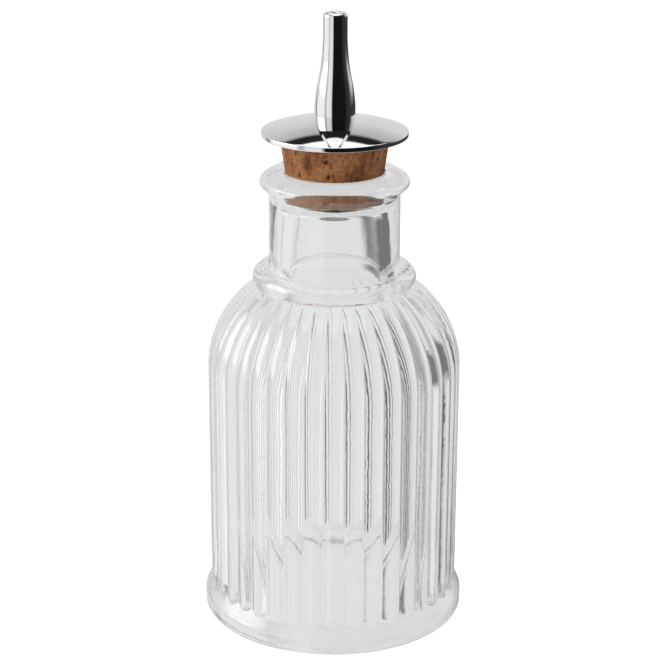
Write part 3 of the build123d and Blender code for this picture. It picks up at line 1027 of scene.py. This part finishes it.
def world_light(settings):
    """White to the camera, the studio to glass and metal, and even light to the rest."""
    world = bpy.data.worlds.new("Studio")
    bpy.context.scene.world = world
    world.use_nodes = True
    tree = world.node_tree
    tree.nodes.clear()
    rays = put(tree, "ShaderNodeLightPath").outputs
    seen = maths(tree, "MAXIMUM", rays["Is Glossy Ray"], rays["Is Transmission Ray"])
    around = surroundings(tree, rays["Is Transmission Ray"], settings.backdrop)
    even = (settings.fill,) * 3 + (1.0,)
    lit = mix(tree, seen, even, around)
    shown = mix(tree, rays["Is Camera Ray"], lit, WHITE)
    background = put(tree, "ShaderNodeBackground", {"Color": shown, "Strength": 1.0})
    put(tree, "ShaderNodeOutputWorld", {"Surface": background.outputs[0]})


def area_lamp(name, place, size, power):
    """A soft lamp that shines on the bottle and that metal and glass don't show."""
    data = bpy.data.lights.new(name, "AREA")
    data.shape = "RECTANGLE"
    data.size = size[0]
    data.size_y = size[1]
    data.energy = power
    lamp = placed(name, data)
    direction = Vector(place) - Vector(LAMP_TARGET)
    lamp.matrix_world = Matrix.Translation(place) @ direction.to_track_quat("Z", "Y").to_matrix().to_4x4()
    lamp.visible_glossy = False
    lamp.visible_transmission = False
    lamp.visible_camera = False


def pale_floor(settings):
    """A wide pale floor that is white to the camera and keeps a soft shadow."""
    half, drop = 3.0, 0.2 * MM
    mesh = bpy.data.meshes.new("pale_floor")
    corners = [(-half, -half, -drop), (half, -half, -drop), (half, half, -drop), (-half, half, -drop)]
    mesh.from_pydata(corners, [], [(0, 1, 2, 3)])
    floor = placed("pale_floor", mesh)
    material, tree, shader, output = new_material("Pale Floor")
    tree.nodes.remove(shader)
    diffuse = put(tree, "ShaderNodeBsdfDiffuse", {"Color": (0.82, 0.82, 0.82, 1.0)})
    glow = put(tree, "ShaderNodeEmission", {"Color": WHITE, "Strength": 1.25})
    camera = put(tree, "ShaderNodeLightPath").outputs["Is Camera Ray"]
    part = maths(tree, "MULTIPLY", camera, settings.floor_white)
    join_shaders(tree, output, part, diffuse, glow)
    mesh.materials.append(material)
    floor.visible_glossy = False
    floor.visible_transmission = False


class BOTTLE_OT_studio(bpy.types.Operator):
    """Set up the floor, the lamps, the surroundings and the camera"""

    bl_idname = "bottle.studio"
    bl_label = "Studio"

    def execute(self, context):
        settings = context.scene.bottle_studio
        scene = context.scene
        scene.view_settings.view_transform = "Standard"
        for kind in ("max", "glossy", "transmission"):
            setattr(scene.cycles, kind + "_bounces", settings.bounces)
        world_light(settings)
        pale_floor(settings)
        for name, place, size, power in LAMPS:
            area_lamp(name, place, size, getattr(settings, power))
        data = bpy.data.cameras.new("camera")
        data.lens = settings.focal_pixels / settings.picture_pixels * data.sensor_width
        data.clip_start = 10 * MM
        camera = placed("camera", data)
        camera.matrix_world = (
            Matrix.Translation((settings.camera_side, -settings.camera_distance, settings.camera_height))
            @ Matrix.Rotation(math.pi / 2 - settings.camera_pitch, 4, "X")
            @ Matrix.Rotation(settings.camera_roll, 4, "Z")
        )
        scene.camera = camera
        return {"FINISHED"}


OPERATORS = (BOTTLE_OT_glass, BOTTLE_OT_cork, BOTTLE_OT_chrome, BOTTLE_OT_steel, BOTTLE_OT_studio)
SETTINGS = (
    ("bottle_glass", GlassSizes),
    ("bottle_cork", CorkSizes),
    ("bottle_metal", MetalSizes),
    ("bottle_studio", StudioSettings),
)


class BOTTLE_PT_pieces(bpy.types.Panel):
    """Lists the operators that make the bottle"""

    bl_idname = "BOTTLE_PT_pieces"
    bl_label = "Bitters Bottle"
    bl_space_type = "VIEW_3D"
    bl_region_type = "UI"
    bl_category = "Bottle"

    def draw(self, context):
        for operator in OPERATORS:
            self.layout.operator(operator.bl_idname)
        for name, group in SETTINGS:
            box = self.layout.box()
            for setting in group.__annotations__:
                box.prop(getattr(context.scene, name), setting)


def register():
    """Adds the settings, the operators and the panel."""
    for _, group in SETTINGS:
        bpy.utils.register_class(group)
    for name, group in SETTINGS:
        setattr(bpy.types.Scene, name, PointerProperty(type=group))
    for operator in OPERATORS:
        bpy.utils.register_class(operator)
    bpy.utils.register_class(BOTTLE_PT_pieces)


def unregister():
    """Takes out all that register adds."""
    bpy.utils.unregister_class(BOTTLE_PT_pieces)
    for operator in reversed(OPERATORS):
        bpy.utils.unregister_class(operator)
    for name, group in reversed(SETTINGS):
        delattr(bpy.types.Scene, name)
        bpy.utils.unregister_class(group)


def main():
    """Makes all pieces and the studio."""
    register()
    bpy.ops.bottle.glass()
    bpy.ops.bottle.cork()
    bpy.ops.bottle.chrome()
    bpy.ops.bottle.steel()
    bpy.ops.bottle.studio()


if __name__ == "__main__":
    main()
